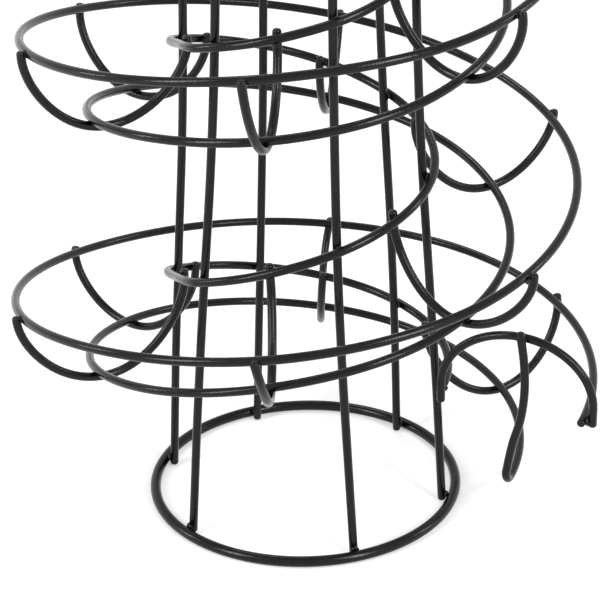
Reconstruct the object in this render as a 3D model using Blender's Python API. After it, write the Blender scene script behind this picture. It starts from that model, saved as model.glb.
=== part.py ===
# Spiral storage rack of welded, powder-coated steel wire.
#
# Six uprights stand inside a base ring and carry three rails that wind down round them. The rails
# are the two sides and the bottom of a trough, held apart by U-shaped ribs. The trough is open
# from the top down to its gate, an arch with a stop bar, at the front right.
#
# Metres, +Z up, resting on z = 0. Places along the spiral are turn angles in degrees: 0 is the
# right-hand side, 90 the front, 180 the left and 270 the back, and they grow on the way down.

from math import cos, degrees, pi, radians, sin, sqrt

import bpy
from mathutils import Vector

full_turn = 360.0

# Wire
wire_radius = 0.0014
ring_wire_radius = 0.00175
weld_gap = 0.0003
wire_spacing = 2 * wire_radius + weld_gap

# Column: base ring, top ring and six uprights, flared towards the foot
base_ring_radius = 0.0504
column_height = 0.335
foot_radius = base_ring_radius - ring_wire_radius - wire_radius - weld_gap
column_radius_shares = (1.0, 0.954, 0.896, 0.838, 0.803, 0.786, 0.775, 0.767, 0.761)
foot_lift = 0.0004

# Turn angle of each upright at five heights: foot, quarter, half, three quarters and top
upright_angles = (
    (197.4, 199.7, 202.6, 204.0, 204.0),
    (141.8, 136.3, 129.1, 125.0, 123.0),
    (249.2, 252.1, 254.6, 256.0, 256.0),
    (71.3, 74.0, 73.3, 71.5, 70.0),
    (313.5, 315.6, 314.6, 313.0, 312.0),
    (15.6, 15.5, 14.3, 13.0, 12.0),
)

# Spiral trough. It starts a little below the top of the column and ends at the gate.
trough_below_top = 0.0183
gate_level = 0.0428
trough_depth = 0.025
track_width = 0.0471
bottom_rail_offset = 0.024
inner_lift = 0.005

# What the rails do at each eighth of a turn from station_start down to the gate
station_start = 45.0
station_step = 45.0
climb_stations = 2
level_shares = (1.643, 1.581, 1.498, 1.392, 1.249, 1.113, 0.970, 0.837, 0.710,
                0.622, 0.522, 0.363, 0.207, 0.126, 0.080, 0.028, -0.027)
depth_shares = (0.92, 1.02, 0.985, 0.97, 0.94, 0.91, 0.83, 0.82, 0.76,
                0.80, 0.92, 0.87, 0.78, 0.87, 0.98, 1.00, 1.00)
lift_shares = (-0.20, -0.72, -0.86, -0.80, -0.28, 0.00, 0.40, 0.92, 1.60,
               1.32, 0.84, 1.10, 1.18, 0.58, 0.12, 0.30, 0.60)
width_shares = (0.880, 0.890, 0.903, 0.913, 0.922, 0.926, 0.935, 0.941, 0.947,
                0.962, 0.973, 0.985, 0.992, 0.996, 1.000, 1.000, 1.000)

# Between the uprights that stand furthest apart the inner rail is drawn in
inner_draw = 0.0046
draw_angle = 168.0
draw_reach = 32.0

# Ribs. Each is set by three angles: the turn angle of its outer leg, how far the inner leg is
# turned from it, and how far the bottom is bowed aside.
upper_turn_ribs = (
    (41.0, 0.5, -3.0),
    (100.0, -2.0, -1.0),
    (159.0, 5.0, 1.5),
    (216.0, 7.5, -3.0),
    (280.0, 1.0, -1.0),
    (339.5, -1.0, -0.5),
)
last_turn_ribs = (
    (400.5, 5.5, -1.0),
    (458.5, 4.5, -2.5),
    (520.5, 4.5, -1.5),
    (575.0, 1.5, -1.5),
    (636.5, 3.0, -2.5),
    (695.0, 1.0, 3.0),
)
guessed_ribs = 9
rib_pointed_share = 0.3
outer_tip_height = 0.0012
inner_tip_height = 0.0024
rail_overhang = 6.0

# Gate
gate_angle = 742.0
outer_rail_past_gate = 0.003
arch_rise = 0.0214
arch_spring_height = 0.0044
arch_outer_drop = 0.002
arch_inner_drop = 0.0045
stop_bend_radius = 0.004
stop_bulge = 0.0051
stop_bulge_shares = (0.0, 0.33, 0.82, 1.0, 0.88, 0.55)
stop_tip_height = 0.0034

# How finely the wires are drawn
rail_step = 9.0
rib_steps = 12
upright_steps = 20
ring_steps = 48
bend_steps = 5
stop_steps = 12
coarse_bevel_steps = 2
fine_bevel_steps = 4

coating_colour = (0.018, 0.018, 0.021, 1.0)
coating_roughness = 0.38


def smooth(values, place):
    """Value of a smooth curve through evenly spaced values, at a place counted in steps."""
    last = len(values) - 1
    start = min(max(int(place), 0), last - 1)
    t = place - start
    before = values[start - 1] if start > 0 else 2 * values[0] - values[1]
    after = values[start + 2] if start + 2 <= last else 2 * values[last] - values[last - 1]
    here, there = values[start], values[start + 1]
    slope_here = (there - before) / 2
    slope_there = (after - here) / 2
    bend = here * (2 * t ** 3 - 3 * t ** 2 + 1) + there * (3 * t ** 2 - 2 * t ** 3)
    return bend + slope_here * (t ** 3 - 2 * t ** 2 + t) + slope_there * (t ** 3 - t ** 2)


def place_at(radius, angle, height):
    """Point at a radius from the column's axis, a turn angle and a height."""
    return Vector((radius * cos(radians(angle)), -radius * sin(radians(angle)), height))


def arc_angle(length, radius):
    """Turn angle that a length covers at a radius."""
    return degrees(length / radius)


def at_station(shares, angle):
    """Share at a turn angle. Above the first station it stays as it is there."""
    place = (angle - station_start) / station_step
    if place < 0:
        return shares[0]
    return smooth(shares, place)


def climb_share(angle):
    """Turns' worth of climb from the gate. Above the first station the climb is even."""
    rise = station_step / full_turn
    climb = tuple(level_shares[0] + rise * count for count in range(climb_stations, 0, -1))
    first = station_start - climb_stations * station_step
    if angle < first:
        return climb[0] + (first - angle) / full_turn
    return smooth(climb + level_shares, (angle - first) / station_step)


def trough_start():
    """Turn angle at which the rails begin."""
    return rib_places()[0][0] - rail_overhang


def outer_level(angle):
    """Height of the outer rail."""
    climb_height = column_height - trough_below_top - gate_level
    return gate_level + climb_height * climb_share(angle) / climb_share(trough_start())


def column_radius(height):
    """Distance of the uprights' middles from the axis."""
    steps = len(column_radius_shares) - 1
    return foot_radius * smooth(column_radius_shares, height / column_height * steps)


def inner_level(angle):
    """Height of the inner rail."""
    return outer_level(angle) + inner_lift * at_station(lift_shares, angle)


def contact_radius(angle):
    """Radius at which the inner rail lies against the uprights."""
    return column_radius(inner_level(angle)) + wire_spacing


def inner_rail(angle):
    """Radius and height of the inner rail."""
    aside = (angle - draw_angle + full_turn / 2) % full_turn - full_turn / 2
    draw_share = max(1 - (aside / draw_reach) ** 2, 0.0) ** 1.5
    return contact_radius(angle) - inner_draw * draw_share, inner_level(angle)


def outer_rail(angle):
    """Radius and height of the outer rail."""
    radius = contact_radius(angle) + track_width * at_station(width_shares, angle)
    return radius, outer_level(angle)


def bottom_rail(angle):
    """Radius and height of the bottom rail."""
    height = outer_level(angle) - trough_depth * at_station(depth_shares, angle)
    return contact_radius(angle) + bottom_rail_offset, height


def angles_between(first, last):
    """Evenly spaced turn angles, no further apart than a rail step."""
    count = int((last - first) / rail_step) + 1
    return [first + (last - first) * step / count for step in range(count + 1)]


def rail_points(rail, first, last):
    return [place_at(rail(angle)[0], angle, rail(angle)[1]) for angle in angles_between(first, last)]


def rib_places():
    """The three angles of every rib, from the top down. Those above the first turn repeat it."""
    turn_count = len(upper_turn_ribs)
    places = []
    for count in range(guessed_ribs, 0, -1):
        turns = (count - 1) // turn_count + 1
        angle, skew, bow = upper_turn_ribs[-count % turn_count]
        places.append((angle - full_turn * turns, skew, bow))
    return places + list(upper_turn_ribs + last_turn_ribs)


def rib_shape(across):
    """Share of a rib's depth that it rises by, at a place across it from -1 to 1."""
    rounded = 1 - sqrt(1 - across ** 2)
    return rounded + rib_pointed_share * (across ** 2 - rounded)


def rib_points(angle, skew, bow):
    """One U: down outside the outer rail, under the bottom rail, up inside the inner rail."""
    inner_angle = angle + skew
    outer_radius, outer_height = outer_rail(angle)
    outer_radius += wire_spacing
    inner_radius, inner_height = inner_rail(inner_angle)
    inner_radius -= wire_spacing
    middle = (outer_radius + inner_radius) / 2
    half = (outer_radius - inner_radius) / 2

    bottom_radius, bottom_height = bottom_rail(angle + skew / 2 + bow)
    under = bottom_height - wire_spacing
    under -= (outer_height - under) * rib_shape((bottom_radius - middle) / half)

    points = [place_at(outer_radius, angle, outer_height + outer_tip_height)]
    for step in range(rib_steps + 1):
        around = pi * step / rib_steps
        top = outer_height if 2 * step < rib_steps else inner_height
        turned = angle + skew * (1 - cos(around)) / 2 + bow * sin(around)
        height = under + (top - under) * rib_shape(cos(around))
        points.append(place_at(middle + half * cos(around), turned, height))
    points.append(place_at(inner_radius, inner_angle, inner_height + inner_tip_height))
    return points


def arch_points():
    """Gate arch: an upside-down U over the end of the trough."""
    outer_radius, level = outer_rail(gate_angle)
    outer_radius += wire_spacing
    inner_radius, inner_height = inner_rail(gate_angle)
    middle = (outer_radius + inner_radius) / 2
    half = (outer_radius - inner_radius) / 2
    spring = level + arch_spring_height
    points = [place_at(outer_radius, gate_angle, level - arch_outer_drop)]
    for step in range(rib_steps + 1):
        around = pi * step / rib_steps
        height = spring + arch_rise * sin(around)
        points.append(place_at(middle + half * cos(around), gate_angle, height))
    points.append(place_at(inner_radius, gate_angle, inner_height - arch_inner_drop))
    return points


def stop_points():
    """End of the bottom rail: it bends up in front of the gate and rises to the arch's crown."""
    radius, height = bottom_rail(gate_angle)
    crown = outer_level(gate_angle) + arch_spring_height + arch_rise + stop_tip_height
    points = []
    for step in range(1, bend_steps + 1):
        around = pi / 2 * step / bend_steps
        forward = wire_spacing + stop_bend_radius * (sin(around) - 1)
        angle = gate_angle + arc_angle(forward + stop_bend_radius / 2, radius)
        points.append(place_at(radius, angle, height + stop_bend_radius * (1 - cos(around))))
    start = height + stop_bend_radius
    for step in range(1, stop_steps + 1):
        share = step / stop_steps
        bulge = smooth(stop_bulge_shares, share * (len(stop_bulge_shares) - 1))
        forward = wire_spacing + stop_bend_radius / 2 * (1 - share)
        angle = gate_angle + arc_angle(forward, radius)
        points.append(place_at(radius + stop_bulge * bulge, angle, start + (crown - start) * share))
    return points


def upright_points(angles):
    """An upright, from just above the floor to the top of the top ring."""
    points = []
    for step in range(upright_steps + 1):
        share = step / upright_steps
        height = foot_lift + (column_height - foot_lift) * share
        angle = smooth(angles, share * (len(angles) - 1))
        points.append(place_at(column_radius(height), angle, height))
    return points


def ring_points(radius, height):
    return [place_at(radius, full_turn * step / ring_steps, height) for step in range(ring_steps)]


def coating_material(name):
    """Black powder coat."""
    material = bpy.data.materials.new(name)
    material.use_nodes = True
    shader = material.node_tree.nodes["Principled BSDF"]
    shader.inputs["Base Color"].default_value = coating_colour
    shader.inputs["Roughness"].default_value = coating_roughness
    shader.inputs["Metallic"].default_value = 0.0
    material.diffuse_color = coating_colour
    return material


def wire(name, points, radius, rack, closed=False, bevel=coarse_bevel_steps):
    """A round wire with flat ends through the points, as a curve with a bevel."""
    curve = bpy.data.curves.new(name, "CURVE")
    curve.dimensions = "3D"
    curve.bevel_depth = radius
    curve.bevel_resolution = bevel
    curve.use_fill_caps = not closed
    spline = curve.splines.new("POLY")
    spline.points.add(len(points) - 1)
    spline.use_cyclic_u = closed
    spline.use_smooth = True
    for control, point in zip(spline.points, points):
        control.co = (*point, 1.0)
    item = bpy.data.objects.new(name, curve)
    item.data.materials.append(coating_material(name + "_coating"))
    item.parent = rack
    bpy.context.scene.collection.objects.link(item)
    return item


def ring(name, radius, height, rack):
    """A closed ring of thicker wire. Its sides are turned so that a flat one lies underneath."""
    sides = 2 * fine_bevel_steps + 4
    half_side = pi / sides
    item = wire(name, ring_points(radius, height), ring_wire_radius / cos(half_side), rack,
                closed=True, bevel=fine_bevel_steps)
    item.data.twist_mode = "Z_UP"
    for control in item.data.splines[0].points:
        control.tilt = half_side
    return item


def centre_on_origin(rack):
    """Move the rack so that the middle of its footprint's box is the origin."""
    bpy.context.view_layer.update()
    depsgraph = bpy.context.evaluated_depsgraph_get()
    corners = []
    for item in rack.children:
        mesh = item.evaluated_get(depsgraph).to_mesh()
        corners.extend(item.matrix_world @ vertex.co for vertex in mesh.vertices)
        item.evaluated_get(depsgraph).to_mesh_clear()
    across = [corner.x for corner in corners]
    deep = [corner.y for corner in corners]
    rack.location = (-(min(across) + max(across)) / 2, -(min(deep) + max(deep)) / 2, 0.0)
    bpy.context.view_layer.update()


def build():
    for item in list(bpy.data.objects):
        bpy.data.objects.remove(item, do_unlink=True)
    rack = bpy.data.objects.new("egg_rack", None)
    bpy.context.scene.collection.objects.link(rack)

    ring("base_ring", base_ring_radius, ring_wire_radius, rack)
    top_level = column_height - ring_wire_radius
    top_radius = column_radius(top_level) + wire_radius + weld_gap + ring_wire_radius
    ring("top_ring", top_radius, top_level, rack)
    for number, angles in enumerate(upright_angles, 1):
        wire(f"upright_{number}", upright_points(angles), wire_radius, rack)

    start = trough_start()
    outer_end = gate_angle + arc_angle(outer_rail_past_gate, outer_rail(gate_angle)[0])
    inner_end = gate_angle - arc_angle(wire_spacing, inner_rail(gate_angle)[0])
    wire("outer_rail", rail_points(outer_rail, start, outer_end), wire_radius, rack)
    wire("inner_rail", rail_points(inner_rail, start, inner_end), wire_radius, rack)
    bottom = rail_points(bottom_rail, start, gate_angle) + stop_points()
    wire("bottom_rail", bottom, wire_radius, rack)
    wire("gate_arch", arch_points(), wire_radius, rack)
    for number, angles in enumerate(rib_places(), 1):
        wire(f"rib_{number:02d}", rib_points(*angles), wire_radius, rack)
    centre_on_origin(rack)


build()
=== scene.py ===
import random
from math import cos, degrees, pi, radians, sin, sqrt

import bpy
from mathutils import Matrix, Vector


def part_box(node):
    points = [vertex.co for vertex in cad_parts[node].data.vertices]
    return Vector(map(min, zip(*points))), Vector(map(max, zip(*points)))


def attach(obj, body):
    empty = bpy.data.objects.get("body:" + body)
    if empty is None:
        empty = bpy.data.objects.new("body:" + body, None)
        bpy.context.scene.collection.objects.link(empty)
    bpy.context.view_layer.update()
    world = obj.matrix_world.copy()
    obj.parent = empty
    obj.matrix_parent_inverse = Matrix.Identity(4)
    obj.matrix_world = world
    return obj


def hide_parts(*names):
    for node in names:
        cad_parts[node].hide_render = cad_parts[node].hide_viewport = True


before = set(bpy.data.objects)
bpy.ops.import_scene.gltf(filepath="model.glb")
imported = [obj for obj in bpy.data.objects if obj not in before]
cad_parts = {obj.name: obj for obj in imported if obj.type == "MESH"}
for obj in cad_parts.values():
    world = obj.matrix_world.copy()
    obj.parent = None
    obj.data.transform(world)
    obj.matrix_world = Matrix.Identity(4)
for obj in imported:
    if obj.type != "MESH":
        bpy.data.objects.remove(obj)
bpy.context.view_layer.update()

# Spiral storage rack of welded, powder-coated steel wire, dressed on its CAD frame. Every wire is
# drawn again as a fine round tube along the same curve as its node, and the welds are added.
#
# Metres, +Z up. Places along the spiral are turn angles in degrees: 0 is the right-hand side, 90
# the front, 180 the left and 270 the back, and they grow on the way down.

# Wire. Welded wires stand weld_gap apart, as in the CAD frame, unless a piece is drawn sunk.
wire_radius = 0.0014
ring_wire_radius = 0.00175
weld_gap = 0.0003
wire_spacing = 2 * wire_radius + weld_gap

# Column
base_ring_radius = 0.0504
column_height = 0.335
foot_radius = base_ring_radius - ring_wire_radius - wire_radius - weld_gap
column_radius_shares = (1.0, 0.954, 0.896, 0.838, 0.803, 0.786, 0.775, 0.767, 0.761)
foot_lift = 0.0004

# Turn angle of each upright at five heights: foot, quarter, half, three quarters and top
upright_angles = (
    (197.4, 199.7, 202.6, 204.0, 204.0),
    (141.8, 136.3, 129.1, 125.0, 123.0),
    (249.2, 252.1, 254.6, 256.0, 256.0),
    (71.3, 74.0, 73.3, 71.5, 70.0),
    (313.5, 315.6, 314.6, 313.0, 312.0),
    (15.6, 15.5, 14.3, 13.0, 12.0),
)

# Spiral trough. It starts a little below the top of the column and ends at the gate.
trough_below_top = 0.0183
gate_level = 0.0428
trough_depth = 0.025
track_width = 0.0471
bottom_rail_offset = 0.024
inner_lift = 0.005

# What the rails do at each eighth of a turn from station_start down to the gate
station_start = 45.0
station_step = 45.0
climb_stations = 2
level_shares = (1.643, 1.581, 1.498, 1.392, 1.249, 1.113, 0.970, 0.837, 0.710,
                0.622, 0.522, 0.363, 0.207, 0.126, 0.080, 0.028, -0.027)
depth_shares = (0.92, 1.02, 0.985, 0.97, 0.94, 0.91, 0.83, 0.82, 0.76,
                0.80, 0.92, 0.87, 0.78, 0.87, 0.98, 1.00, 1.00)
lift_shares = (-0.20, -0.72, -0.86, -0.80, -0.28, 0.00, 0.40, 0.92, 1.60,
               1.32, 0.84, 1.10, 1.18, 0.58, 0.12, 0.30, 0.60)
width_shares = (0.880, 0.890, 0.903, 0.913, 0.922, 0.926, 0.935, 0.941, 0.947,
                0.962, 0.973, 0.985, 0.992, 0.996, 1.000, 1.000, 1.000)
inner_draw = 0.0046
draw_angle = 168.0
draw_reach = 32.0
draw_power = 1.5

# Ribs: turn angle of the outer leg, turn from it to the inner leg, and bow of the bottom
full_turn = 360.0
upper_turn_ribs = (
    (41.0, 0.5, -3.0),
    (100.0, -2.0, -1.0),
    (159.0, 5.0, 1.5),
    (216.0, 7.5, -3.0),
    (280.0, 1.0, -1.0),
    (339.5, -1.0, -0.5),
)
last_turn_ribs = (
    (400.5, 5.5, -1.0),
    (458.5, 4.5, -2.5),
    (520.5, 4.5, -1.5),
    (575.0, 1.5, -1.5),
    (636.5, 3.0, -2.5),
    (695.0, 1.0, 3.0),
)
guessed_ribs = 9
rib_pointed_share = 0.3
outer_tip_height = 0.0012
inner_tip_height = 0.0024
rail_overhang = 6.0

# Gate
gate_angle = 742.0
outer_rail_past_gate = 0.003
arch_rise = 0.0214
arch_spring_height = 0.0044
arch_outer_drop = 0.002
arch_inner_drop = 0.0045
stop_bend_radius = 0.004
stop_bulge = 0.0051
stop_bulge_shares = (0.0, 0.33, 0.82, 1.0, 0.88, 0.55)
stop_tip_height = 0.0034

# How finely the wires are drawn
rail_step = 2.5
rib_steps = 40
upright_steps = 64
ring_steps = 144
bend_steps = 8
stop_steps = 28
wire_sides = 14
ring_sides = 18

# Upward share of a wire's direction from which its start counts as steep
steep = 0.5

# Rounded ends of the wires: steps, and length as a share of the wire's radius
end_steps = 4
end_length_share = 0.7

# Welds. The ribs are drawn sunk a little into the rails that they are welded to. The shares are
# of the bead's size, which is the wire's radius or, at the gate, gate_weld_size. A bead's turn is
# in radians.
weld_sink = 0.0004
fused_spacing = 2 * wire_radius - weld_sink
gate_weld_size = 1.4 * wire_radius
ring_weld_height = 2 * wire_radius
weld_reach_share = 0.95
weld_height_share = 0.5
weld_size_range = (0.94, 1.06)
weld_turn_range = (-0.2, 0.2)
weld_waves = 4
weld_wave_share = 0.035
weld_spread_share = 0.10
weld_segments = 14
weld_rows = 8

# Welds of the uprights: rounds in which a crossing is found, and turn angle left free at the gate
crossing_rounds = 6
gate_clearance = 4.5

# Powder coat: colours, gloss and the three patterns in it. The scales are in waves per metre.
coat_dark = (0.0010, 0.0010, 0.0017, 1.0)
coat_light = (0.0045, 0.0045, 0.0060, 1.0)
coat_specular_level = 0.25
cloud_scale, cloud_detail, cloud_roughness = 55.0, 4.0, 0.6
grain_scale, grain_detail, grain_roughness = 620.0, 3.0, 0.5
peel_scale, peel_detail, peel_roughness = 1700.0, 2.0, 0.5
tone_cloud_share = 0.65
tone_grain_share = 0.35
tone_low, tone_high = 0.3, 0.7
gloss_low, gloss_high = 0.25, 0.75
peel_height = 0.00004
cloud_height = 0.00025
cloud_strength = 0.25
pattern_shift = (0.37, 0.61, 0.23)

# Sockets of a colour Mix node
mix_dark, mix_light, mix_result = 6, 7, 2

# Floor: a sheet of pale paper that turns into the white of the background beyond the lamps' reach
floor_half = 3.0
floor_drop = 0.0002
paper_colour = (0.86, 0.86, 0.86, 1.0)
paper_roughness = 0.9
paper_specular_level = 0.1
paper_white_near = 0.4
white_starts, white_ends = 0.5, 1.5
white = (1.0, 1.0, 1.0, 1.0)
world_light = 0.35

# Lamps: name, place, width, height and watts. All of them face lamp_aim.
lamp_aim = (0.0, 0.0, 0.15)
lamps = (
    ("left", (-1.6, 0.1, 0.7), 0.15, 0.6, 4.5),
    ("right", (1.6, 0.1, 0.7), 0.15, 0.6, 4.5),
    ("front_left", (-1.37, -0.95, 1.06), 0.4, 1.2, 17.5),
    ("front_right", (1.0, -1.31, 1.1), 0.4, 1.2, 19.0),
    ("above", (-0.3, 0.9, 1.7), 0.6, 0.25, 4.0),
)

# Camera: focal length in pixels of the square photograph, angles in degrees and the sensor in
# millimetres
photo_width = 600.0
camera_focal = 2291.0
camera_pitch = 26.83
camera_yaw = -0.14
camera_roll = -1.28
camera_place = (-0.0003, -0.6642, 0.4040)
camera_clip_start = 0.05
sensor_width = 36.0


def smooth(values, place):
    """Value of a smooth curve through evenly spaced values, at a place counted in steps."""
    last = len(values) - 1
    start = min(max(int(place), 0), last - 1)
    t = place - start
    before = values[start - 1] if start > 0 else 2 * values[0] - values[1]
    after = values[start + 2] if start + 2 <= last else 2 * values[last] - values[last - 1]
    here, there = values[start], values[start + 1]
    slope_here = (there - before) / 2
    slope_there = (after - here) / 2
    bend = here * (2 * t ** 3 - 3 * t ** 2 + 1) + there * (3 * t ** 2 - 2 * t ** 3)
    return bend + slope_here * (t ** 3 - 2 * t ** 2 + t) + slope_there * (t ** 3 - t ** 2)


def place_at(radius, angle, height):
    """Point at a radius from the column's axis, a turn angle and a height."""
    return Vector((radius * cos(radians(angle)), -radius * sin(radians(angle)), height))


def arc_angle(length, radius):
    """Turn angle that a length covers at a radius."""
    return degrees(length / radius)


def at_station(shares, angle):
    """Share at a turn angle. Above the first station it stays as it is there."""
    place = (angle - station_start) / station_step
    if place < 0:
        return shares[0]
    return smooth(shares, place)


def climb_share(angle):
    """Turns' worth of climb from the gate. Above the first station the climb is even."""
    rise = station_step / full_turn
    climb = tuple(level_shares[0] + rise * count for count in range(climb_stations, 0, -1))
    first = station_start - climb_stations * station_step
    if angle < first:
        return climb[0] + (first - angle) / full_turn
    return smooth(climb + level_shares, (angle - first) / station_step)


def rib_places():
    """The three angles of every rib, from the top down. Those above the first turn repeat it."""
    turn_count = len(upper_turn_ribs)
    places = []
    for count in range(guessed_ribs, 0, -1):
        turns = (count - 1) // turn_count + 1
        angle, skew, bow = upper_turn_ribs[-count % turn_count]
        places.append((angle - full_turn * turns, skew, bow))
    return places + list(upper_turn_ribs + last_turn_ribs)


trough_start = rib_places()[0][0] - rail_overhang


def outer_level(angle):
    """Height of the outer rail."""
    climb_height = column_height - trough_below_top - gate_level
    return gate_level + climb_height * climb_share(angle) / climb_share(trough_start)


def column_radius(height):
    """Distance of the uprights' middles from the axis."""
    steps = len(column_radius_shares) - 1
    return foot_radius * smooth(column_radius_shares, height / column_height * steps)


def inner_level(angle):
    """Height of the inner rail."""
    return outer_level(angle) + inner_lift * at_station(lift_shares, angle)


def contact_radius(angle):
    """Radius at which the inner rail lies against the uprights."""
    return column_radius(inner_level(angle)) + wire_spacing


def inner_rail(angle):
    """Radius and height of the inner rail."""
    aside = (angle - draw_angle + full_turn / 2) % full_turn - full_turn / 2
    draw_share = max(1 - (aside / draw_reach) ** 2, 0.0) ** draw_power
    return contact_radius(angle) - inner_draw * draw_share, inner_level(angle)


def outer_rail(angle):
    """Radius and height of the outer rail."""
    radius = contact_radius(angle) + track_width * at_station(width_shares, angle)
    return radius, outer_level(angle)


def bottom_rail(angle):
    """Radius and height of the bottom rail."""
    height = outer_level(angle) - trough_depth * at_station(depth_shares, angle)
    return contact_radius(angle) + bottom_rail_offset, height


def rail_points(rail, first, last):
    """Points of a rail from one turn angle to another."""
    count = int((last - first) / rail_step) + 1
    angles = [first + (last - first) * step / count for step in range(count + 1)]
    return [place_at(rail(angle)[0], angle, rail(angle)[1]) for angle in angles]


def rib_shape(across):
    """Share of a rib's depth that it rises by, at a place across it from -1 to 1."""
    rounded = 1 - sqrt(1 - min(across ** 2, 1.0))
    return rounded + rib_pointed_share * (across ** 2 - rounded)


def rib_ends(angle, skew):
    """Radius and height of a rib's two legs, the outer one first."""
    outer_radius, outer_height = outer_rail(angle)
    inner_radius, inner_height = inner_rail(angle + skew)
    return outer_radius + fused_spacing, outer_height, inner_radius - fused_spacing, inner_height


def rib_points(angle, skew, bow):
    """One U: down outside the outer rail, under the bottom rail, up inside the inner rail."""
    outer_radius, outer_height, inner_radius, inner_height = rib_ends(angle, skew)
    middle = (outer_radius + inner_radius) / 2
    half = (outer_radius - inner_radius) / 2
    bottom_radius, bottom_height = bottom_rail(angle + skew / 2 + bow)
    under = bottom_height - fused_spacing
    under -= (outer_height - under) * rib_shape((bottom_radius - middle) / half)

    points = [place_at(outer_radius, angle, outer_height + outer_tip_height)]
    for step in range(rib_steps + 1):
        around = pi * step / rib_steps
        top = outer_height if 2 * step < rib_steps else inner_height
        turned = angle + skew * (1 - cos(around)) / 2 + bow * sin(around)
        height = under + (top - under) * rib_shape(cos(around))
        points.append(place_at(middle + half * cos(around), turned, height))
    points.append(place_at(inner_radius, angle + skew, inner_height + inner_tip_height))
    return points


def arch_points():
    """Gate arch: an upside-down U over the end of the trough."""
    outer_radius, level = outer_rail(gate_angle)
    outer_radius += wire_spacing
    inner_radius, inner_height = inner_rail(gate_angle)
    middle = (outer_radius + inner_radius) / 2
    half = (outer_radius - inner_radius) / 2
    spring = level + arch_spring_height
    points = [place_at(outer_radius, gate_angle, level - arch_outer_drop)]
    for step in range(rib_steps + 1):
        around = pi * step / rib_steps
        height = spring + arch_rise * sin(around)
        points.append(place_at(middle + half * cos(around), gate_angle, height))
    points.append(place_at(inner_radius, gate_angle, inner_height - arch_inner_drop))
    return points


def stop_points():
    """End of the bottom rail: it bends up in front of the gate and rises to the arch's crown."""
    radius, height = bottom_rail(gate_angle)
    crown = outer_level(gate_angle) + arch_spring_height + arch_rise + stop_tip_height
    points = []
    for step in range(1, bend_steps + 1):
        around = pi / 2 * step / bend_steps
        forward = wire_spacing + stop_bend_radius * (sin(around) - 1)
        angle = gate_angle + arc_angle(forward + stop_bend_radius / 2, radius)
        points.append(place_at(radius, angle, height + stop_bend_radius * (1 - cos(around))))
    start = height + stop_bend_radius
    for step in range(1, stop_steps + 1):
        share = step / stop_steps
        bulge = smooth(stop_bulge_shares, share * (len(stop_bulge_shares) - 1))
        forward = wire_spacing + stop_bend_radius / 2 * (1 - share)
        angle = gate_angle + arc_angle(forward, radius)
        points.append(place_at(radius + stop_bulge * bulge, angle, start + (crown - start) * share))
    return points


def upright_angle(angles, height):
    """Turn angle of an upright at a height."""
    return smooth(angles, height / column_height * (len(angles) - 1))


def upright_points(angles):
    """An upright, from just above the floor to the top of the top ring."""
    points = []
    for step in range(upright_steps + 1):
        height = foot_lift + (column_height - foot_lift) * step / upright_steps
        points.append(place_at(column_radius(height), upright_angle(angles, height), height))
    return points


def ring_points(radius, height):
    """A closed level ring."""
    return [place_at(radius, full_turn * step / ring_steps, height) for step in range(ring_steps)]


# Meshes


def add_mesh(name, vertices, faces, material):
    """A smooth-shaded mesh that rides on the rack."""
    mesh = bpy.data.meshes.new(name)
    mesh.from_pydata([tuple(vertex) for vertex in vertices], [], faces)
    mesh.polygons.foreach_set("use_smooth", [True] * len(mesh.polygons))
    mesh.materials.append(material)
    mesh.validate()
    item = bpy.data.objects.new(name, mesh)
    bpy.context.scene.collection.objects.link(item)
    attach(item, "root")
    return item


def tangents(path, closed):
    """Unit direction of the path at each of its points."""
    last = len(path) - 1
    directions = []
    for index in range(len(path)):
        if closed:
            ahead, behind = path[(index + 1) % len(path)], path[index - 1]
        else:
            ahead, behind = path[min(index + 1, last)], path[max(index - 1, 0)]
        directions.append((ahead - behind).normalized())
    return directions


def start_side(direction):
    """A side direction across a wire's first stretch: upwards, unless the wire is steep."""
    if abs(direction.z) < steep:
        return (Vector((0, 0, 1)) - direction * direction.z).normalized()
    return direction.orthogonal().normalized()


def sweep(path, radius, sides, closed=False):
    """Vertices and faces of a round tube. An open one has rounded ends that keep its length."""
    directions = tangents(path, closed)
    end_length = radius * end_length_share
    if not closed:
        path = list(path)
        path[0] = path[0] + directions[0] * end_length
        path[-1] = path[-1] - directions[-1] * end_length
    side = start_side(directions[0])
    rings = []
    for point, direction in zip(path, directions):
        side = (side - direction * side.dot(direction)).normalized()
        rings.append((point, direction, side, radius))
    if not closed:
        first_side, last_side = rings[0][2], rings[-1][2]
        for step in range(1, end_steps):
            around = pi / 2 * step / end_steps
            reach = end_length * sin(around)
            width = radius * sqrt(cos(around))
            before = path[0] - directions[0] * reach
            beyond = path[-1] + directions[-1] * reach
            rings.insert(0, (before, directions[0], first_side, width))
            rings.append((beyond, directions[-1], last_side, width))

    vertices = []
    for point, direction, side, width in rings:
        across = direction.cross(side)
        for count in range(sides):
            around = 2 * pi * count / sides
            vertices.append(point + (side * cos(around) + across * sin(around)) * width)
    faces = []
    spans = len(rings) if closed else len(rings) - 1
    for index in range(spans):
        here = index * sides
        there = (index + 1) % len(rings) * sides
        for count in range(sides):
            beside = (count + 1) % sides
            faces.append((here + count, here + beside, there + beside, there + count))
    if not closed:
        first_tip, last_tip = len(vertices), len(vertices) + 1
        vertices.append(path[0] - directions[0] * end_length)
        vertices.append(path[-1] + directions[-1] * end_length)
        last_ring = (len(rings) - 1) * sides
        for count in range(sides):
            beside = (count + 1) % sides
            faces.append((beside, count, first_tip))
            faces.append((last_ring + count, last_ring + beside, last_tip))
    return vertices, faces


def add_wire(node, path, material, radius=wire_radius, sides=wire_sides, closed=False):
    """The fine tube that stands for a node."""
    vertices, faces = sweep(path, radius, sides, closed)
    item = add_mesh(node + "_wire", vertices, faces, material)
    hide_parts(node)
    return item


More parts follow.
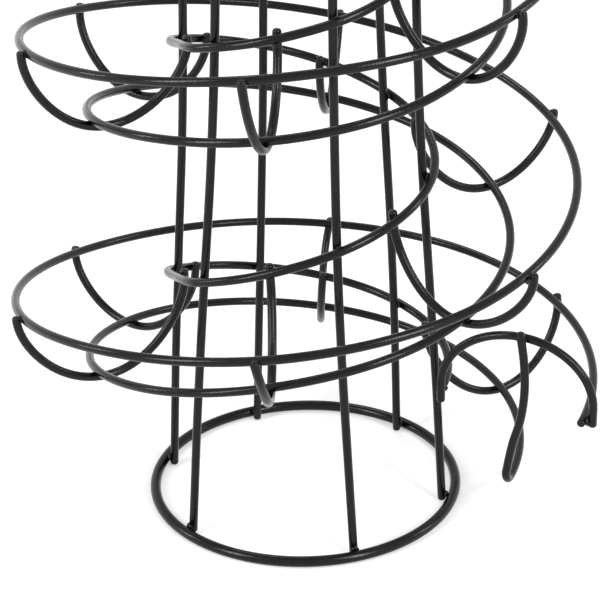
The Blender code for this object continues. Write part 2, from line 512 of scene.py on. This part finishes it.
def weld_bead(place, normal, along, chance, size):
    """Vertices and faces of one weld: an uneven bead that fills the notch between two wires."""
    normal = normal.normalized()
    along = (along - normal * along.dot(normal)).normalized()
    across = normal.cross(along)
    turn = chance.uniform(*weld_turn_range)
    reach = size * weld_reach_share * chance.uniform(*weld_size_range)
    rise = size * weld_height_share
    waves = [chance.uniform(-1, 1) for _ in range(weld_waves)]
    vertices = []
    for row in range(1, weld_rows):
        tilt = pi * row / weld_rows
        for count in range(weld_segments):
            around = 2 * pi * count / weld_segments
            wave = waves[0] * sin(2 * around) + waves[1] * cos(3 * around)
            wave += waves[2] * sin(around + 2 * tilt) + waves[3] * cos(around)
            width = reach * sin(tilt) * (1 + weld_wave_share * wave)
            # the bead spreads along both wires and is drawn in between them
            width *= 1 + weld_spread_share * cos(4 * around)
            vertices.append(place + along * width * cos(around + turn)
                            + across * width * sin(around + turn)
                            + normal * rise * cos(tilt))
    faces = []
    for row in range(weld_rows - 2):
        for count in range(weld_segments):
            beside = (count + 1) % weld_segments
            here, there = row * weld_segments, (row + 1) * weld_segments
            faces.append((here + beside, here + count, there + count, there + beside))
    top, bottom = len(vertices), len(vertices) + 1
    vertices.append(place + normal * rise)
    vertices.append(place - normal * rise)
    last_row = (weld_rows - 2) * weld_segments
    for count in range(weld_segments):
        beside = (count + 1) % weld_segments
        faces.append((count, beside, top))
        faces.append((last_row + beside, last_row + count, bottom))
    return vertices, faces


def add_welds(name, places, material, seed, size=wire_radius):
    """One mesh with a bead at each place, given as a point, the normal and a wire's direction."""
    chance = random.Random(seed)
    vertices, faces = [], []
    for place, normal, along in places:
        start = len(vertices)
        bead, bead_faces = weld_bead(place, normal, along, chance, size)
        vertices.extend(bead)
        faces.extend(tuple(start + index for index in face) for face in bead_faces)
    return add_mesh(name, vertices, faces, material)


def outward(angle):
    """Unit direction away from the axis."""
    return place_at(1.0, angle, 0.0)


def onward(angle):
    """Unit direction along the spiral, level and on the way down."""
    return place_at(1.0, angle + full_turn / 4, 0.0)


def rib_weld_places():
    """Where the ribs meet the outer, bottom and inner rails."""
    places = []
    up = Vector((0, 0, 1))
    for angle, skew, bow in rib_places():
        outer_radius, outer_height, inner_radius, inner_height = rib_ends(angle, skew)
        places.append((place_at(outer_radius - fused_spacing / 2, angle, outer_height),
                       outward(angle), up))
        turned = angle + skew / 2 + bow
        bottom_radius, bottom_height = bottom_rail(turned)
        places.append((place_at(bottom_radius, turned, bottom_height - fused_spacing / 2),
                       up, onward(turned)))
        places.append((place_at(inner_radius + fused_spacing / 2, angle + skew, inner_height),
                       outward(angle + skew), up))
    return places


def crossing_angle(angles, turn):
    """Turn angle at which the inner rail crosses an upright on one of its turns."""
    angle = angles[0] + full_turn * turn
    for _ in range(crossing_rounds):
        if angle < gate_angle:
            angle = upright_angle(angles, inner_level(angle)) + full_turn * turn
    return angle


def column_weld_places():
    """Where the uprights meet the inner rail and the two rings."""
    places = []
    up = Vector((0, 0, 1))
    first_turn, last_turn = int(trough_start // full_turn), int(gate_angle // full_turn)
    for angles in upright_angles:
        for turn in range(first_turn, last_turn + 1):
            angle = crossing_angle(angles, turn)
            if trough_start < angle < gate_angle - gate_clearance:
                radius = column_radius(inner_level(angle)) + wire_spacing / 2
                places.append((place_at(radius, angle, inner_level(angle)), outward(angle), up))
        for height in (ring_weld_height, column_height - ring_weld_height):
            angle = upright_angle(angles, height)
            radius = column_radius(height) + wire_radius + weld_gap / 2
            places.append((place_at(radius, angle, height), outward(angle), onward(angle)))
    return places


def gate_weld_places():
    """Where the arch meets the outer rail, the inner rail's end and the stop bar's tip."""
    up = Vector((0, 0, 1))
    out, on = outward(gate_angle), onward(gate_angle)
    outer_radius, level = outer_rail(gate_angle)
    inner_radius, inner_height = inner_rail(gate_angle)
    stop_radius = bottom_rail(gate_angle)[0] + stop_bulge * stop_bulge_shares[-1]
    crown = level + arch_spring_height + arch_rise
    inner_angle = gate_angle - arc_angle(wire_spacing / 2, inner_radius)
    stop_angle = gate_angle + arc_angle(wire_spacing / 2, stop_radius)
    return [
        (place_at(outer_radius + wire_spacing / 2, gate_angle, level), out, up),
        (place_at(inner_radius, inner_angle, inner_height), on, up),
        (place_at(stop_radius, stop_angle, crown), on, up),
    ]


# Materials


def add_node(tree, kind, values=None, operation=None):
    """A node with values on some of its sockets."""
    node = tree.nodes.new(kind)
    if operation:
        node.operation = operation
    for socket, value in (values or {}).items():
        node.inputs[socket].default_value = value
    return node


def powder_coat(name, seed, smooth_roughness=0.12, matt_roughness=0.23, peel=1.0):
    """Black powder coat: slightly uneven tone and gloss, and a fine orange peel."""
    material = bpy.data.materials.new(name)
    material.use_nodes = True
    tree = material.node_tree
    link = tree.links.new
    shader = tree.nodes["Principled BSDF"]
    shader.inputs["Metallic"].default_value = 0.0
    shader.inputs["Specular IOR Level"].default_value = coat_specular_level

    coordinates = add_node(tree, "ShaderNodeTexCoord")
    location = tuple(seed * shift for shift in pattern_shift)
    shifted = add_node(tree, "ShaderNodeMapping", {"Location": location})
    link(coordinates.outputs["Object"], shifted.inputs["Vector"])

    def noise(scale, detail, roughness):
        values = {"Scale": scale, "Detail": detail, "Roughness": roughness}
        node = add_node(tree, "ShaderNodeTexNoise", values)
        link(shifted.outputs["Vector"], node.inputs["Vector"])
        return node.outputs["Fac"]

    cloud = noise(cloud_scale, cloud_detail, cloud_roughness)
    grain = noise(grain_scale, grain_detail, grain_roughness)
    peel_noise = noise(peel_scale, peel_detail, peel_roughness)

    # tone: the cloud and the grain together
    part = add_node(tree, "ShaderNodeMath", {1: tone_cloud_share}, "MULTIPLY")
    link(cloud, part.inputs[0])
    both = add_node(tree, "ShaderNodeMath", {1: tone_grain_share}, "MULTIPLY_ADD")
    link(grain, both.inputs[0])
    link(part.outputs["Value"], both.inputs[2])
    spread = add_node(tree, "ShaderNodeMapRange", {"From Min": tone_low, "From Max": tone_high})
    link(both.outputs["Value"], spread.inputs["Value"])
    tone = tree.nodes.new("ShaderNodeMix")
    tone.data_type = "RGBA"
    tone.inputs[mix_dark].default_value = coat_dark
    tone.inputs[mix_light].default_value = coat_light
    link(spread.outputs["Result"], tone.inputs["Factor"])
    link(tone.outputs[mix_result], shader.inputs["Base Color"])

    # gloss: the grain alone
    values = {"From Min": gloss_low, "From Max": gloss_high,
              "To Min": smooth_roughness, "To Max": matt_roughness}
    gloss = add_node(tree, "ShaderNodeMapRange", values)
    link(grain, gloss.inputs["Value"])
    link(gloss.outputs["Result"], shader.inputs["Roughness"])

    # relief: the orange peel, over a shallow unevenness
    fine = add_node(tree, "ShaderNodeBump", {"Strength": peel, "Distance": peel_height})
    link(peel_noise, fine.inputs["Height"])
    values = {"Strength": cloud_strength, "Distance": cloud_height}
    uneven = add_node(tree, "ShaderNodeBump", values)
    link(cloud, uneven.inputs["Height"])
    link(fine.outputs["Normal"], uneven.inputs["Normal"])
    link(uneven.outputs["Normal"], shader.inputs["Normal"])
    return material


rail_coat = powder_coat("rail_coat", seed=1)
rib_coat = powder_coat("rib_coat", seed=2, matt_roughness=0.29)
column_coat = powder_coat("column_coat", seed=3)
ring_coat = powder_coat("ring_coat", seed=4, smooth_roughness=0.13, matt_roughness=0.24)
gate_coat = powder_coat("gate_coat", seed=5)
weld_coat = powder_coat("weld_coat", seed=6, smooth_roughness=0.15, matt_roughness=0.28,
                        peel=0.8)

# The rack, drawn about the column's axis and set where the CAD frame stands

ring_low, ring_high = (Vector(corner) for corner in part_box("base_ring"))
axis = (ring_low + ring_high) / 2
axis.z = 0.0


def placed(path):
    """A wire's points moved to where the rack stands."""
    return [point + axis for point in path]


add_wire("base_ring", placed(ring_points(base_ring_radius, ring_wire_radius)), ring_coat,
         ring_wire_radius, ring_sides, closed=True)
top_level = column_height - ring_wire_radius
top_radius = column_radius(top_level) + wire_radius + weld_gap + ring_wire_radius
add_wire("top_ring", placed(ring_points(top_radius, top_level)), ring_coat,
         ring_wire_radius, ring_sides, closed=True)
for number, angles in enumerate(upright_angles, 1):
    add_wire(f"upright_{number}", placed(upright_points(angles)), column_coat)

outer_end = gate_angle + arc_angle(outer_rail_past_gate, outer_rail(gate_angle)[0])
inner_end = gate_angle - arc_angle(wire_spacing, inner_rail(gate_angle)[0])
add_wire("outer_rail", placed(rail_points(outer_rail, trough_start, outer_end)), rail_coat)
add_wire("inner_rail", placed(rail_points(inner_rail, trough_start, inner_end)), rail_coat)
bottom = rail_points(bottom_rail, trough_start, gate_angle) + stop_points()
add_wire("bottom_rail", placed(bottom), rail_coat)
add_wire("gate_arch", placed(arch_points()), gate_coat)
for number, angles in enumerate(rib_places(), 1):
    add_wire(f"rib_{number:02d}", placed(rib_points(*angles)), rib_coat)


def placed_welds(places):
    """Weld places moved to where the rack stands."""
    return [(place + axis, normal, along) for place, normal, along in places]


add_welds("rib_welds", placed_welds(rib_weld_places()), weld_coat, seed=11)
add_welds("column_welds", placed_welds(column_weld_places()), weld_coat, seed=12)
add_welds("gate_welds", placed_welds(gate_weld_places()), weld_coat, seed=13,
          size=gate_weld_size)

# Floor, light and camera


def camera_white(tree, plain_level):
    """Node that is white to the camera, a reflection or a clear piece, and plain to the rest."""
    rays = add_node(tree, "ShaderNodeLightPath")
    seen = add_node(tree, "ShaderNodeMath", operation="MAXIMUM")
    tree.links.new(rays.outputs["Is Camera Ray"], seen.inputs[0])
    tree.links.new(rays.outputs["Is Glossy Ray"], seen.inputs[1])
    either = add_node(tree, "ShaderNodeMath", operation="MAXIMUM")
    tree.links.new(seen.outputs["Value"], either.inputs[0])
    tree.links.new(rays.outputs["Is Transmission Ray"], either.inputs[1])
    values = {"To Min": plain_level, "To Max": 1.0}
    level = add_node(tree, "ShaderNodeMapRange", values)
    tree.links.new(either.outputs["Value"], level.inputs["Value"])
    return level


def paper_material():
    """Pale paper that is white afar and keeps the shadow near the object."""
    material = bpy.data.materials.new("paper")
    material.use_nodes = True
    tree = material.node_tree
    shader = tree.nodes["Principled BSDF"]
    shader.inputs["Base Color"].default_value = paper_colour
    shader.inputs["Roughness"].default_value = paper_roughness
    shader.inputs["Specular IOR Level"].default_value = paper_specular_level
    shader.inputs["Emission Color"].default_value = white

    surface = add_node(tree, "ShaderNodeNewGeometry")
    distance = add_node(tree, "ShaderNodeVectorMath", operation="LENGTH")
    tree.links.new(surface.outputs["Position"], distance.inputs[0])
    values = {"From Min": white_starts, "From Max": white_ends,
              "To Min": paper_white_near, "To Max": 1.0}
    afar = add_node(tree, "ShaderNodeMapRange", values)
    tree.links.new(distance.outputs["Value"], afar.inputs["Value"])
    level = camera_white(tree, 0.0)
    tree.links.new(afar.outputs["Result"], level.inputs["To Max"])
    tree.links.new(level.outputs["Result"], shader.inputs["Emission Strength"])
    return material


floor_mesh = bpy.data.meshes.new("floor")
floor_corners = [(-floor_half, -floor_half, 0), (floor_half, -floor_half, 0),
                 (floor_half, floor_half, 0), (-floor_half, floor_half, 0)]
floor_mesh.from_pydata(floor_corners, [], [(0, 1, 2, 3)])
floor_mesh.materials.append(paper_material())
floor = bpy.data.objects.new("floor", floor_mesh)
floor.location.z = -floor_drop
bpy.context.scene.collection.objects.link(floor)

world = bpy.data.worlds.new("studio")
world.use_nodes = True
bpy.context.scene.world = world
backdrop = world.node_tree.nodes["Background"]
backdrop.inputs["Color"].default_value = white
world_level = camera_white(world.node_tree, world_light)
world.node_tree.links.new(world_level.outputs["Result"], backdrop.inputs["Strength"])


def add_lamp(name, place, width, height, watts):
    """A large flat lamp that faces the rack."""
    data = bpy.data.lights.new(name, "AREA")
    data.shape = "RECTANGLE"
    data.size = width
    data.size_y = height
    data.energy = watts
    lamp = bpy.data.objects.new(name, data)
    lamp.location = place
    towards = Vector(lamp_aim) - Vector(place)
    lamp.rotation_euler = towards.to_track_quat("-Z", "Y").to_euler()
    bpy.context.scene.collection.objects.link(lamp)


for lamp_values in lamps:
    add_lamp(*lamp_values)

camera_data = bpy.data.cameras.new("camera")
camera_data.sensor_width = sensor_width
camera_data.lens = sensor_width * camera_focal / photo_width
camera_data.clip_start = camera_clip_start
camera = bpy.data.objects.new("camera", camera_data)
bpy.context.scene.collection.objects.link(camera)
bpy.context.scene.camera = camera
pitch, yaw, roll = radians(camera_pitch), radians(camera_yaw), radians(camera_roll)
forward = Vector((sin(yaw) * cos(pitch), cos(yaw) * cos(pitch), -sin(pitch)))
right = Vector((cos(yaw), -sin(yaw), 0.0))
up = right.cross(forward)
rolled_right = right * cos(roll) + up * sin(roll)
rolled_up = up * cos(roll) - right * sin(roll)
turned = Matrix((rolled_right, rolled_up, -forward)).transposed()
camera.matrix_world = Matrix.Translation(camera_place) @ turned.to_4x4()

bpy.context.scene.view_settings.view_transform = "Standard"
